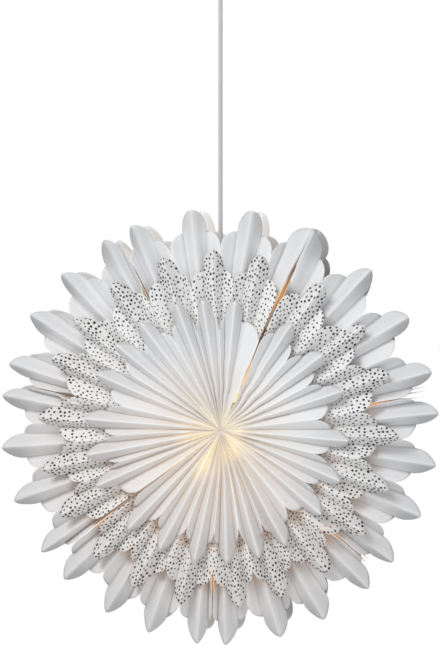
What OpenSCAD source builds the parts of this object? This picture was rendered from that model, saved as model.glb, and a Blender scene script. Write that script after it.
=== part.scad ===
// Folding paper star lantern on a pendant cord.
// Z is up, the star's axis lies along Y and its front faces -Y.
// The origin is the centre of the ceiling plate, where it meets the ceiling.

/* [Star] */
// Tip radius of the long petals in the outer tier
outer_tip_r = 300; // [285:1:340]
// Tip radius of the long petals in the dotted tier
dotted_tip_r = 244; // [236:1:262]
// Tip radius of the long petals in the inner tier
inner_tip_r = 178; // [170:1:186]
// Radius where the short lobes of the outer tier end
outer_lobe_r = 270; // [262:1:280]
// Radius where the short lobes of the dotted tier end
dotted_lobe_r = 217; // [210:1:224]
// Radius where the short lobes of the inner tier end
inner_lobe_r = 154; // [148:1:162]
// Radius of the notches between the short lobes of the outer tier
outer_notch_r = 247; // [238:1:256]
// Radius of the notches between the short lobes of the dotted tier
dotted_notch_r = 193; // [186:1:202]
// Radius of the notches between the short lobes of the inner tier
inner_notch_r = 131; // [124:1:142]
// Height of the inner tier's apex over the middle plane, a little behind the tips
apex_h = 86; // [84:1:96]
// Height of the inner tier's long tips over the middle plane
inner_tip_h = 91; // [89:1:100]
// Height of the dotted tier's long tips over the middle plane
dotted_tip_h = 69; // [67:1:72]
// Height of the outer tier's long tips over the middle plane
outer_tip_h = 45; // [38:1:46]
// Height over the middle plane where the dotted tier's cone would come to a point
dotted_apex_h = 96.5; // [95:0.5:97]
// Height over the middle plane where the outer tier's cone would come to a point
outer_apex_h = 79; // [76:0.5:79.5]

/* [Paper] */
// Thickness of the petal paper
paper_t = 0.35; // [0.25:0.05:0.5]
// Depth of the inner tier's pleats at the short lobes
inner_pleat = 13.5; // [9:0.5:15]
// Depth of the dotted tier's pleats at the short lobes
dotted_pleat = 16.5; // [13:0.5:18]
// Depth of the outer tier's pleats at the short lobes
outer_pleat = 17.5; // [11:0.5:18.5]
// Shape of the petals' ends, where 2 is a round end and less is a more pointed one
leaf_shape = 1.6; // [1.3:0.1:2]
// Share of the round that each fan opens to, first fan first
fan_shares = [51.6, 50, 51, 50, 48, 51.8, 56.2]; // [45:0.1:60]
// Direction of the open joint, turning left from the right-hand side
joint_angle = 65; // [60:1:70]
// Angle that the two end walls stand apart at the open joint
joint_open = 1.4; // [1:0.1:2]
// Radius of the pleats' inner edge round the apex
apex_hole_r = 6; // [5.5:0.5:9]
// Radius where the dotted sheets begin, under the inner tier
dotted_start_r = 92; // [80:1:110]
// Radius where the outer sheets begin, under the dotted tier
outer_start_r = 152; // [140:1:165]
// Radius where the seam walls begin, clear of the lamp
wall_start_r = 60; // [55:1:70]
// Radius of the two points at the outer end of each seam wall
wall_spike_r = 284; // [276:1:290]
// Radius of the hollow between those two points
wall_hollow_r = 246; // [230:1:255]

/* [Joint pads] */
// Diameter of the hook and loop pads that close the open joint
pad_d = 14; // [10:1:16]
// Radius of the inner pads
pad_in_r = 100; // [90:1:110]
// How far the inner pads lie behind the front of the dotted tier's cone
pad_in_drop = 18; // [16:1:30]
// Radius of the outer pads
pad_out_r = 232; // [210:1:236]
// Height of the outer pads over the middle plane
pad_out_h = 26; // [15:1:28]

/* [Hanger] */
// Thickness of the hanger card
card_t = 1.5; // [1:0.1:2]
// Depth of the hanger card from front to back
card_depth = 44; // [36:1:48]
// How far the card's glued ends run up the walls
card_tab = 20; // [12:1:26]
// Diameter of the card's hole for the cord grip
card_hole_d = 15; // [14:0.5:18]

/* [Pendant] */
// From the ceiling down to the star's centre
star_drop = 700; // [650:10:1500]
// From the star's centre up to the shoulder of the lampholder
holder_rise = 66; // [62:1:70]
// Diameter of the cord
cord_d = 5.8; // [5:0.1:6]
// Clearance round the cord in its holes
cord_gap = 0.2; // [0.1:0.05:0.4]
// Diameter of the cord grip over the hanger card
grip_d = 13; // [12:0.5:14]
// Height of the cord grip over the shoulder
grip_h = 12; // [8:1:16]
// Diameter of the cord grip's threaded stub
grip_stub_d = 9.6; // [8.6:0.2:10.4]
// Length of the cord grip's threaded stub
grip_stub_h = 10; // [8:1:12]

/* [Lampholder] */
// Outer diameter of the lampholder's cap
holder_d = 29; // [28:0.5:32]
// Height of the lampholder's cap
holder_cap_h = 26; // [24:1:32]
// Wall of the lampholder's cap
holder_wall = 1.8; // [1.4:0.1:2.2]
// Diameter of the lampholder's threaded body
body_d = 27.2; // [26:0.2:27.6]
// Outer diameter of the thread sleeve
sleeve_d = 15.2; // [15:0.1:15.8]
// Wall of the thread sleeve
sleeve_wall = 0.4; // [0.3:0.05:0.5]
// Diameter of the contact insert
insert_d = 18; // [17:0.5:20]
// Height of the contact insert
insert_h = 8; // [6:0.5:9]
// Outer diameter of the shade ring
ring_d = 42; // [36:1:46]
// Height of the shade ring
ring_h = 10; // [9:1:11]
// From the cap's lower edge down to the shade ring
ring_drop = 8; // [7:1:9]
// Free travel of the shade ring on its thread
ring_travel = 12; // [11:1:12]

/* [Bulb] */
// Diameter of the bulb's screw cap
bulb_cap_d = 13.8; // [13.6:0.1:14]
// Length of the bulb's screw cap
bulb_cap_h = 19; // [17:1:21]
// Diameter of the bulb's globe
globe_d = 45; // [40:1:46]
// From the tip of the bulb's contact down to the globe's centre
globe_drop = 48; // [46:1:52]
// Wall of the bulb's glass
glass_t = 0.8; // [0.6:0.1:1.2]
// Diameter of the globe's neck
neck_d = 18; // [16:1:22]
// Length of each light filament
filament_l = 22; // [16:1:24]

/* [Ceiling fitting] */
// Diameter of the ceiling cup
cup_d = 100; // [90:2:120]
// Height of the ceiling cup's straight side
cup_side_h = 34; // [30:1:45]
// Wall of the ceiling cup
cup_t = 1.2; // [0.8:0.1:1.6]
// From the ceiling down to the swivel ball's centre
ball_drop = 50; // [48:1:60]
// Diameter of the swivel ball
ball_d = 20; // [19:0.5:22]
// Running gap round the ball and round its liner
ball_gap = 0.3; // [0.2:0.05:0.4]
// Thickness of the socket liner
liner_t = 1.7; // [1.4:0.1:2]
// Largest swing of the cord to one side
swing_max = 15; // [10:1:16]
// Length of the ceiling plate
plate_l = 94; // [80:1:94]
// Width of the ceiling plate
plate_w = 20; // [16:1:26]
// Thickness of the ceiling plate
plate_t = 1.5; // [1:0.1:2]
// Distance between the plate's two screw holes
plate_holes = 60; // [50:1:66]
// Diameter of the plate's screw holes
plate_hole_d = 5; // [4:0.5:6]
// Diameter of the side screws that hold the cup
side_screw_d = 4; // [3:0.5:5]

/* [Hidden] */
$fn = 64;
FANS = 7;

// Paper sheets
// A tier: tip, lobe and notch radius, start radius, apex and tip height, pleat depth.
INNER = [inner_tip_r, inner_lobe_r, inner_notch_r, apex_hole_r, apex_h, inner_tip_h, inner_pleat];
DOTTED = [dotted_tip_r, dotted_lobe_r, dotted_notch_r, dotted_start_r, dotted_apex_h,
          dotted_tip_h, dotted_pleat];
OUTER = [outer_tip_r, outer_lobe_r, outer_notch_r, outer_start_r, outer_apex_h,
         outer_tip_h, outer_pleat];

// A crease is a share of the fan's width and a kind.
TIP = 0;
LOBE = 1;
NOTCH = 2;
UNITS = 3;
TIP_INSET = 0.083;
INNER_CREASES = [for (i = [0:4 * UNITS]) [i / (4 * UNITS), [NOTCH, LOBE, TIP, LOBE][i % 4]]];
OUTER_CREASES = concat(
    [[0, LOBE]],
    [for (i = [0:4 * UNITS])
        [TIP_INSET + (1 - 2 * TIP_INSET) * i / (4 * UNITS), [TIP, LOBE, NOTCH, LOBE][i % 4]]],
    [[1, LOBE]]);
TIP_STEPS = 4;
LOBE_STEPS = 3;

function total(list, n) = n == 0 ? 0 : list[n - 1] + total(list, n - 1);
function seam_angle(i) = joint_angle + joint_open / 2
    + (360 - joint_open) * total(fan_shares, i) / total(fan_shares, FANS);

function tip_slope(tier) = (tier[5] - tier[4]) / tier[0];
function lobe_slope(tier) = tip_slope(tier) - tier[6] / tier[1];
function slope(tier, kind) = kind == LOBE ? lobe_slope(tier) : tip_slope(tier);
function reach(tier, kind) = tier[kind];

// Height over the middle plane at an angle between two creases, on the flat facet that joins them
function facet_h(tier, r, a, left, right) = tier[4] + r
    * (slope(tier, left[1]) * sin(right[0] - a) + slope(tier, right[1]) * sin(a - left[0]))
    / sin(right[0] - left[0]);

// Pulls an angle on a seam back by the paper's thickness, so the sheet meets the wall's face
function off_seam(a, r, from, to) =
    a <= from ? from + asin(paper_t / r) : a >= to ? to - asin(paper_t / r) : a;

function rounds(left, right, tier) = max(left[1], right[1]) == NOTCH ? LOBE_STEPS : TIP_STEPS;

// One facet's outline: half a leaf's end that rises from the facet's lower crease to its higher one
function facet_edge(tier, left, right) =
    let (n = rounds(left, right, tier), ra = reach(tier, left[1]), rb = reach(tier, right[1]))
    [for (i = [0:n])
        let (t = 90 * i / n, share = ra < rb ? 1 - cos(t) : sin(t), off_tip = ra < rb ? 1 - share : share)
        [left[0] + (right[0] - left[0]) * share,
         min(ra, rb) + abs(rb - ra) * sqrt(1 - pow(off_tip, leaf_shape))]];

function sheet_point(tier, a, r, left, right, from, to) =
    let (b = off_seam(a, r, from, to)) [r * cos(b), -facet_h(tier, r, b, left, right), r * sin(b)];

// The top of one facet: its two inner corners, then its outline
function facet_points(tier, left, right, from, to) = concat(
    [for (c = [left, right]) sheet_point(tier, c[0], tier[3], left, right, from, to)],
    [for (p = facet_edge(tier, left, right)) sheet_point(tier, p[0], p[1], left, right, from, to)]);

// Thickness of a pleated sheet along the star's axis
function axial_t(tier, facet_angle) =
    paper_t * sqrt(1 + pow(tier[6] / (tier[1] * sin(facet_angle)), 2));

// Each facet is given as a ring of points, and neighbours repeat the points of their crease.
module pleated_sheet(tier, creases, from, to) {
    marks = [for (c = creases) [from + (to - from) * c[0], c[1]]];
    count = len(marks) - 1;
    rings = [for (i = [0:count - 1]) facet_points(tier, marks[i], marks[i + 1], from, to)];
    sizes = [for (ring = rings) len(ring)];
    top = [for (ring = rings) for (p = ring) p];
    n = len(top);
    drop = [0, axial_t(tier, (to - from) / (4 * UNITS + 1)), 0];
    starts = [for (i = [0:count]) total(sizes, i)];
    lids = [for (i = [0:count - 1]) let (s = starts[i], m = sizes[i])
        concat([for (j = [2:m - 2]) [s, s + j, s + j + 1]], [[s, s + m - 1, s + 1]])];
    flat = [for (lid = lids) for (f = lid) f];
    rims = [for (i = [0:count - 1]) let (s = starts[i], m = sizes[i])
        concat([for (j = [2:m - 2]) [s + j, s + j + 1]], [[s + 1, s]])];
    ends = [[0, 2], [starts[count - 1] + sizes[count - 1] - 1, starts[count - 1] + 1]];
    edges = concat([for (rim = rims) for (e = rim) e], ends);
    polyhedron(
        concat(top, [for (p = top) p + drop]),
        concat(
            [for (f = flat) [f[0], f[1], f[2]]],
            [for (f = flat) [f[0] + n, f[2] + n, f[1] + n]],
            [for (e = edges) each [[e[0], e[0] + n, e[1] + n], [e[0], e[1] + n, e[1]]]]));
}

module petals(tier, creases, i) {
    for (back = [0, 1])
        translate([0, 0, -star_drop])
            mirror([0, back, 0])
                pleated_sheet(tier, creases, seam_angle(i - 1), seam_angle(i));
}

module inner_petals(i) {
    color([0.88, 0.89, 0.91]) petals(INNER, INNER_CREASES, i);
}

module dotted_petals(i) {
    color([0.84, 0.83, 0.81]) petals(DOTTED, INNER_CREASES, i);
}

module outer_petals(i) {
    color([0.87, 0.88, 0.9]) petals(OUTER, OUTER_CREASES, i);
}

// Walls between the fans
// The front edge runs along the seam edge of each tier in turn.
function tip_line(tier, r) = tier[4] + r * tip_slope(tier);
function lobe_line(tier, r) = tier[4] + r * lobe_slope(tier);
HOLLOW_STEPS = 8;
wall_half = [
    [wall_start_r, tip_line(INNER, wall_start_r)],
    [inner_notch_r, tip_line(INNER, inner_notch_r)],
    [inner_notch_r, tip_line(DOTTED, inner_notch_r)],
    [dotted_notch_r, tip_line(DOTTED, dotted_notch_r)],
    [dotted_notch_r, lobe_line(OUTER, dotted_notch_r)],
    [wall_spike_r, lobe_line(OUTER, wall_spike_r)],
    for (i = [1:HOLLOW_STEPS]) let (u = 1 - i / HOLLOW_STEPS)
        [wall_hollow_r + (wall_spike_r - wall_hollow_r) * u * u, u * lobe_line(OUTER, wall_spike_r)]];

module wall(angle, low, high) {
    outline = concat(wall_half,
        [for (i = [len(wall_half) - 2:-1:0]) [wall_half[i][0], -wall_half[i][1]]]);
    translate([0, 0, -star_drop])
        rotate([0, -angle, 0])
            translate([0, 0, low])
                linear_extrude(high - low) polygon(outline);
}

module seam_wall(i) {
    color([0.93, 0.9, 0.85]) wall(seam_angle(i), -paper_t, paper_t);
}

module first_end_wall() {
    color([0.93, 0.9, 0.85]) wall(seam_angle(0), 0, paper_t);
}

module last_end_wall() {
    color([0.93, 0.9, 0.85]) wall(seam_angle(FANS), -paper_t, 0);
}

// Pads on the two end walls that hold the star open
pad_gap = pad_d / 2 * sin(joint_open / 2) + 0.02;
pad_in_h = dotted_apex_h - pad_in_drop;

module pads(angle, side) {
    for (spot = [[pad_in_r, pad_in_h], [pad_out_r, pad_out_h]])
        for (end = [-1, 1]) {
            pad_t = spot[0] * sin(joint_open / 2) - pad_gap;
            translate([0, 0, -star_drop])
                rotate([0, -angle, 0])
                    translate([spot[0], end * spot[1], side > 0 ? 0 : -pad_t])
                        cylinder(h = pad_t, d = pad_d);
        }
}

module hook_pads() {
    color([0.95, 0.95, 0.95]) pads(seam_angle(0), -1);
}

module loop_pads() {
    color([0.92, 0.92, 0.92]) pads(seam_angle(FANS), 1);
}

// Hanger card across the top fan, from wall to wall
// Where a wall's face crosses a height, for a face that lies off its seam
function face_x(angle, off, z) =
    let (s = (z - off * cos(angle)) / sin(angle)) s * cos(angle) - off * sin(angle);

module hanger_card() {
    z0 = holder_rise;
    z1 = z0 + card_t;
    z2 = z1 + card_tab;
    right = [for (z = [z0, z1, z2]) face_x(seam_angle(0), paper_t, z)];
    left = [for (z = [z0, z1, z2]) face_x(seam_angle(1), -paper_t, z)];
    tab_right = card_t / sin(seam_angle(0));
    tab_left = card_t / sin(seam_angle(1));
    color([0.9, 0.88, 0.82])
        translate([0, 0, -star_drop])
            difference() {
                rotate([90, 0, 0])
                    linear_extrude(card_depth, center = true)
                        polygon([
                            [left[0], z0], [right[0], z0], [right[2], z2],
                            [right[2] - tab_right, z2], [right[1] - tab_right, z1],
                            [left[1] + tab_left, z1], [left[2] + tab_left, z2], [left[2], z2]]);
                translate([0, 0, z0 - 1]) cylinder(h = card_t + 2, d = card_hole_d);
            }
}

// Cord and lampholder
holder_z = holder_rise - star_drop;
cord_end_z = holder_z - grip_stub_h - 3;
ball_z = -ball_drop;
collar_h = 8;
ball_top = ball_d * 0.3;
cord_top_z = ball_z + ball_top + collar_h + 2;
CORD_SIDES = 10;
CORD_RING = 17;
cord_route = [
    [0, 0, cord_top_z],
    [0, 0, -120],
    [0, 0, -250],
    [0, 0, -400],
    [0, 0, cord_end_z]];

// Points along the route, one ring apart
function along(route) = [
    for (i = [0:len(route) - 2])
        let (n = ceil(norm(route[i + 1] - route[i]) / CORD_RING))
        for (j = [0:n - 1]) route[i] + (route[i + 1] - route[i]) * j / n,
    route[len(route) - 1]];

module tube(points, d) {
    rings = [for (p = points) for (s = [0:CORD_SIDES - 1])
        p + d / 2 * [cos(360 * s / CORD_SIDES), sin(360 * s / CORD_SIDES), 0]];
    last = (len(points) - 1) * CORD_SIDES;
    polyhedron(rings, concat(
        [[for (s = [0:CORD_SIDES - 1]) s]],
        [[for (s = [CORD_SIDES - 1:-1:0]) last + s]],
        [for (i = [0:len(points) - 2]) for (s = [0:CORD_SIDES - 1])
            let (a = i * CORD_SIDES + s, b = i * CORD_SIDES + (s + 1) % CORD_SIDES)
            each [[a, a + CORD_SIDES, b + CORD_SIDES], [a, b + CORD_SIDES, b]]]));
}

module cord() {
    color([0.75, 0.75, 0.77]) tube(along(cord_route), cord_d);
}

cord_hole_d = cord_d + 2 * cord_gap;

module cord_grip() {
    color([0.92, 0.92, 0.92])
        translate([0, 0, holder_z])
            difference() {
                union() {
                    cylinder(h = grip_h, d = grip_d);
                    translate([0, 0, -grip_stub_h]) cylinder(h = grip_stub_h + 1, d = grip_stub_d);
                }
                translate([0, 0, -grip_stub_h - 1])
                    cylinder(h = grip_h + grip_stub_h + 2, d = cord_hole_d);
            }
}

shoulder_r = holder_d / 2 - 4;

module holder_cap() {
    r = holder_d / 2;
    color([0.93, 0.93, 0.93])
        translate([0, 0, holder_z])
            rotate_extrude()
                polygon([
                    [grip_stub_d / 2 + cord_gap, 0], [shoulder_r, 0], [r - 1.5, -1.5], [r, -5],
                    [r, -holder_cap_h], [r - holder_wall, -holder_cap_h], [r - holder_wall, -6],
                    [shoulder_r - 1, -3], [grip_stub_d / 2 + cord_gap, -3]]);
}

body_h = ring_drop + ring_h + ring_travel;
body_top = -holder_cap_h;
body_low = body_top - body_h;
spigot_h = 10;
spigot_r = holder_d / 2 - holder_wall - 0.1;
insert_low = body_top - 6;

module holder_body() {
    color([0.93, 0.93, 0.93])
        translate([0, 0, holder_z])
            difference() {
                union() {
                    translate([0, 0, body_low]) cylinder(h = body_h, d = body_d);
                    translate([0, 0, body_top]) cylinder(h = spigot_h, r = spigot_r);
                }
                translate([0, 0, body_low - 1]) cylinder(h = body_h + 20, d = sleeve_d + 0.1);
                translate([0, 0, insert_low]) cylinder(h = 40, d = insert_d + 0.2);
            }
}

module contact_insert() {
    color([0.95, 0.94, 0.9])
        translate([0, 0, holder_z + insert_low]) cylinder(h = insert_h, d = insert_d);
}

sleeve_top = insert_low;
sleeve_h = body_h - 8;

module thread_sleeve() {
    color([0.8, 0.68, 0.4])
        translate([0, 0, holder_z + sleeve_top - sleeve_h])
            difference() {
                cylinder(h = sleeve_h, d = sleeve_d);
                translate([0, 0, -1]) cylinder(h = sleeve_h + 2, d = sleeve_d - 2 * sleeve_wall);
            }
}

leaf_h = 2;
leaf_w = 4;
contact_z = insert_low - leaf_h;

module holder_contacts() {
    color([0.8, 0.68, 0.4])
        translate([0, 0, holder_z]) {
            translate([0, 0, contact_z])
                rotate([90, 0, 0])
                    linear_extrude(leaf_w, center = true)
                        polygon([[-5, leaf_h], [-2, 0], [2, 0], [3, 0.5], [1.8, 0.4], [-1.8, 0.4],
                                 [-4.4, leaf_h]]);
            translate([3, -2, insert_low + insert_h]) cube([1, 4, 5]);
            translate([-4, -2, insert_low + insert_h]) cube([1, 4, 5]);
        }
}

module shade_ring() {
    bore = body_d / 2 + 0.3;
    color([0.93, 0.93, 0.93])
        translate([0, 0, holder_z + body_top - ring_drop])
            rotate_extrude()
                polygon([
                    [bore, 0], [ring_d / 2, 0], [ring_d / 2, -2], [bore + 3, -2.5],
                    [bore + 2.4, -ring_h], [bore, -ring_h]]);
}

// Bulb, measured down from the tip of its contact
tip_gap = 0.1;
bulb_z = holder_z + contact_z - tip_gap;
button_h = 0.8;
insulator_h = 2.6;
shell_top = -button_h - insulator_h;
shell_low = shell_top - bulb_cap_h;
globe_r = globe_d / 2;
neck_r = neck_d / 2;
seat_r = bulb_cap_d / 2 - 0.5;

module bulb_contact() {
    color([0.75, 0.75, 0.76])
        translate([0, 0, bulb_z - button_h]) cylinder(h = button_h, d = 4.4);
}

module bulb_insulator() {
    color([0.12, 0.12, 0.13])
        translate([0, 0, bulb_z])
            rotate_extrude()
                polygon([[0, -button_h], [2.6, -button_h], [seat_r, shell_top], [0, shell_top]]);
}

module bulb_cap() {
    r = bulb_cap_d / 2;
    color([0.78, 0.78, 0.79])
        translate([0, 0, bulb_z])
            rotate_extrude()
                polygon([
                    [0, shell_top], [seat_r, shell_top], [r, shell_top - 1], [r, shell_low],
                    [r - 0.4, shell_low], [r - 0.4, shell_top - 1.2], [0, shell_top - 1.2]]);
}

neck_top_r = neck_r - 0.5;
neck_foot = -globe_drop + globe_r * 0.72;
tube_top = shell_top - 4;

// The globe with its neck and the tube under the cap, drawn in by a gap all round
module globe(gap, over) {
    translate([0, 0, -globe_drop]) sphere(r = globe_r - gap);
    translate([0, 0, neck_foot])
        cylinder(h = shell_low - gap - neck_foot, r1 = neck_r + 4 - gap, r2 = neck_top_r - gap);
    translate([0, 0, shell_low - gap - 1])
        cylinder(h = tube_top - shell_low + gap + 1 + over, r = seat_r - gap);
}

module bulb_glass() {
    color([0.95, 0.93, 0.85, 0.5])
        translate([0, 0, bulb_z])
            difference() {
                globe(0, 0);
                globe(glass_t, 1);
            }
}

filament_r = 5;
filament_top = filament_l / 2 - globe_drop;
stem_foot_h = 2;
stem_top = shell_low + 6;

module filaments() {
    color([0.98, 0.85, 0.5])
        translate([0, 0, bulb_z]) {
            translate([0, 0, filament_top]) cylinder(h = stem_top - filament_top, d = 4);
            translate([0, 0, stem_top]) cylinder(h = stem_foot_h, r = seat_r - glass_t - 0.05);
            translate([0, 0, filament_top - 1]) cylinder(h = 1, r = filament_r + 1);
            for (a = [45:90:315])
                rotate([0, 0, a])
                    translate([filament_r, 0, filament_top - filament_l])
                        cylinder(h = filament_l, d = 1.2);
            translate([0, 0, filament_top - filament_l - 1]) cylinder(h = 1, r = filament_r + 1);
        }
}

// Ceiling fitting
liner_in = ball_d / 2 + ball_gap;
liner_out = liner_in + liner_t;
seat = liner_out + ball_gap;
neck_out = seat + 2.4;
neck_low = ball_z - seat;
cup_hole_r = (ball_z - neck_low) * tan(swing_max * 1.5) + cord_d / 2 + 0.4;
liner_hole_r = (liner_out + 1) * tan(swing_max) + cord_d / 2 + 0.4;
flange_h = 16;
side_screw_z = -9;
side_screw_head = 2.4;

module ceiling_plate() {
    color([0.8, 0.8, 0.82])
        difference() {
            rotate([90, 0, 0])
                linear_extrude(plate_w, center = true)
                    polygon([
                        [-plate_l / 2, 0], [plate_l / 2, 0], [plate_l / 2, -flange_h],
                        [plate_l / 2 - plate_t, -flange_h], [plate_l / 2 - plate_t, -plate_t],
                        [-plate_l / 2 + plate_t, -plate_t], [-plate_l / 2 + plate_t, -flange_h],
                        [-plate_l / 2, -flange_h]]);
            for (x = [-plate_holes / 2, plate_holes / 2])
                translate([x, 0, -plate_t - 1]) cylinder(h = plate_t + 2, d = plate_hole_d);
            translate([0, 0, side_screw_z])
                rotate([0, 90, 0]) cylinder(h = plate_l + 2, d = side_screw_d + 0.1, center = true);
        }
}

module ceiling_cup() {
    r = cup_d / 2;
    low = -cup_side_h - 12;
    color([0.95, 0.95, 0.95])
        difference() {
            rotate_extrude()
                difference() {
                    polygon([
                        [r, -0.5], [r, -cup_side_h], [r - 1.5, -cup_side_h - 5],
                        [r - 6, -cup_side_h - 9.5], [r - 13, low], [neck_out + 2, low - 1.5],
                        [neck_out, low - 4], [neck_out, neck_low - 0.6],
                        [cup_hole_r, neck_low - 0.6], [cup_hole_r, ball_z], [seat, ball_z],
                        [seat, low + 4], [neck_out, low + cup_t - 1.5], [r - 13, low + cup_t],
                        [r - 6 - cup_t * 0.6, -cup_side_h - 9.5 + cup_t * 0.7],
                        [r - 1.5 - cup_t, -cup_side_h - 5 + cup_t * 0.3],
                        [r - cup_t, -cup_side_h], [r - cup_t, -0.5]]);
                    translate([0, ball_z]) circle(r = seat);
                }
            translate([0, 0, side_screw_z])
                rotate([0, 90, 0]) cylinder(h = cup_d + 2, d = side_screw_d + 0.4, center = true);
        }
}

module cup_screws() {
    color([0.75, 0.75, 0.77])
        for (side = [0, 1])
            mirror([side, 0, 0])
                translate([0, 0, side_screw_z])
                    rotate([0, 90, 0]) {
                        translate([0, 0, plate_l / 2 - plate_t - 2])
                            cylinder(h = cup_d / 2 - plate_l / 2 + plate_t + 2, d = side_screw_d);
                        translate([0, 0, cup_d / 2]) cylinder(h = side_screw_head, d = side_screw_d * 2);
                    }
}

module socket_liner() {
    color([0.9, 0.9, 0.86])
        translate([0, 0, ball_z])
            rotate_extrude()
                intersection() {
                    difference() {
                        circle(r = liner_out);
                        circle(r = liner_in);
                    }
                    translate([liner_hole_r, -seat]) square([seat, seat + 1]);
                }
}

module swivel_ball() {
    color([0.78, 0.78, 0.8])
        translate([0, 0, ball_z])
            difference() {
                union() {
                    intersection() {
                        sphere(d = ball_d);
                        translate([0, 0, -ball_d * 0.43])
                            cylinder(h = ball_d * 0.43 + ball_top, d = ball_d * 1.2);
                    }
                    translate([0, 0, ball_top - 1]) cylinder(h = collar_h + 1, d = cord_d + 6);
                }
                translate([0, 0, -ball_d]) cylinder(h = 2 * ball_d + collar_h, d = cord_hole_d);
                translate([0, 0, ball_top + collar_h / 2])
                    rotate([0, 90, 0]) cylinder(h = cord_d + 6, d = 3.1);
            }
}

module ball_screw() {
    color([0.7, 0.7, 0.72])
        translate([cord_d / 2 + 0.05, 0, ball_z + ball_top + collar_h / 2])
            rotate([0, 90, 0]) cylinder(h = 3.4, d = 3);
}

block_h = 14;

module terminal_block() {
    color([0.95, 0.95, 0.95])
        translate([0, 0, cord_top_z])
            difference() {
                union() {
                    translate([-10, -6, 0]) cube([20, 12, block_h]);
                    for (x = [-5, 5])
                        translate([x, -8, block_h / 2]) rotate([-90, 0, 0]) cylinder(h = 16, d = 7);
                }
                for (x = [-5, 5]) translate([x, 0, 2]) cylinder(h = block_h, d = 3);
            }
}

for (i = [1:FANS]) {
    inner_petals(i);
    dotted_petals(i);
    outer_petals(i);
}
for (i = [1:FANS - 1])
    seam_wall(i);
first_end_wall();
last_end_wall();
hook_pads();
loop_pads();
hanger_card();
cord();
cord_grip();
holder_cap();
holder_body();
contact_insert();
thread_sleeve();
holder_contacts();
shade_ring();
bulb_glass();
bulb_cap();
bulb_insulator();
bulb_contact();
filaments();
ceiling_plate();
ceiling_cup();
cup_screws();
socket_liner();
swivel_ball();
ball_screw();
terminal_block();
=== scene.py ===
import math
import random

import bmesh
import bpy
from mathutils import Matrix, Vector


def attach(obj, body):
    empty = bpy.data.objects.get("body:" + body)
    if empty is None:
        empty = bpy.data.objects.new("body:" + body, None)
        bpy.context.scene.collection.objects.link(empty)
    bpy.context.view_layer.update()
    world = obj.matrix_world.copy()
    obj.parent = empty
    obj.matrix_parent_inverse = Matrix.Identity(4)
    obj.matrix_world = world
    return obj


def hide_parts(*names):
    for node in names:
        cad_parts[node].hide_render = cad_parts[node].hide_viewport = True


bl_info = {
    "name": "Paper star lantern",
    "version": (1, 0, 0),
    "blender": (4, 5, 0),
    "location": "3D View > Sidebar > Lantern",
    "description": "Builds a folding paper star lantern on its pendant cord",
    "category": "Add Mesh",
}

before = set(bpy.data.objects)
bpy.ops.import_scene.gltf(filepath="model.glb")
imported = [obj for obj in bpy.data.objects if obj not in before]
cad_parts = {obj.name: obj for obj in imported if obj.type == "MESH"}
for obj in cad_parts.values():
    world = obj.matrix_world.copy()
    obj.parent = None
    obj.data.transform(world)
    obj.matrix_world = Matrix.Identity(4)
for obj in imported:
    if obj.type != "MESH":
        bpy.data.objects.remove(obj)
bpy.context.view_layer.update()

MM = 0.001
FANS = 7
STAR_Z = -0.700

# Kinds of crease, and how deep each lies: 0 on a ridge, 1 in a valley
TIP, LOBE, NOTCH = range(3)
DEPTHS = {TIP: 0, NOTCH: 0, LOBE: 1}

# Paper never opens quite evenly, so each tier has its own seams and long petals, in degrees
SEAMS = {
    "inner": (65.6, 114.8, 165, 217.8, 268.3, 312.6, 367.6, 424.8),
    "dotted": (65.9, 117, 166.5, 218.1, 268.6, 316.6, 368.1, 424.4),
    "outer": (64.8, 117.3, 167.6, 218.8, 268.3, 318.6, 370, 424.8),
}
PETALS = {
    "inner": ((81.8, 95.7, 106.8), (124.6, 138.5, 153.9), (174.4, 190.5, 204.6), (227.8, 244.4, 260.6),
              (274.9, 289.4, 302), (322.8, 339.2, 357.1), (378.8, 396.8, 415.4)),
    "dotted": ((75.7, 91.4, 107.5), (125.3, 142, 156.4), (176, 193.2, 209), (226.4, 242, 258.2),
               (277, 291.7, 308.4), (325.2, 341.4, 358.6), (378.6, 395.5, 414.1)),
    "outer": ((64.8, 81, 97, 112.8), (121.2, 135.2, 149, 163.1), (171.8, 185.8, 200.1, 215.5),
              (224.7, 238.9, 251.3, 264.5), (272.1, 286.8, 299.2, 313.5), (323.1, 336.9, 350.8, 364.6),
              (375.5, 391.1, 406.4, 424.8)),
}

# Degrees by which each seam of the two inner tiers gapes to either side
GAPING = (0, 0, 0, 0.7, 0, 0, 0, 0)

# Half the width of a long petal in degrees, and of the blunt petals beside the open joint
HALF_WIDTH = {"inner": 4.4, "dotted": 3.6, "outer": 3.5}
BLUNT_WIDTH = 5.5

# Largest share of the way to the next notch that a long petal takes up
PETAL_SHARE = 0.62

# Added to the tip shape of each fan's petals, which makes them blunter
BLUNTNESS = (0.55, 0.15, 0, 0, 0, 0, 0.2)

# How far a tier's hidden inner part dips under the tier before it, and the radii where the dip runs out
TUCKS = {"inner": 0.0, "dotted": 0.009, "outer": 0.003}
TUCK_FADE = (0.12, 0.195)

# The flat pattern's spread, its rows along the radius and how they crowd at the rim
FAN_SPREAD = math.radians(51.4)
PATTERN_ROWS = 26
ROW_CROWDING = 0.85

# How gently the creases turn, and the least angle in degrees that counts as a sharp edge
CREASE_SOFTNESS = 0.06
SHARP_FOLD = 22

# Radius where the dots start, and how far the ink lies over the paper's face
DOTS_START = 0.112
INK_LIFT = 0.0005

# A hanging paper star drifts to one side. The front's sideways and upward shift: between which radii each
# changes, and from what to what. Then the back's sideways shift.
DRIFT = ((0.03, 0.20, 0.0065, -0.0005), (0.02, 0.20, 0.0045, 0.0020))
BACK_SHIFT = 0.007

# Share by which the back is drawn in on the right
BACK_CLOSED = 0.085

# Where the open joint gapes near the middle: radii where each opening starts, is open, closes and is closed
SLIT_OPENINGS = ((0.031, 0.038, 0.052, 0.059), (0.066, 0.072, 0.092, 0.102))

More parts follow.
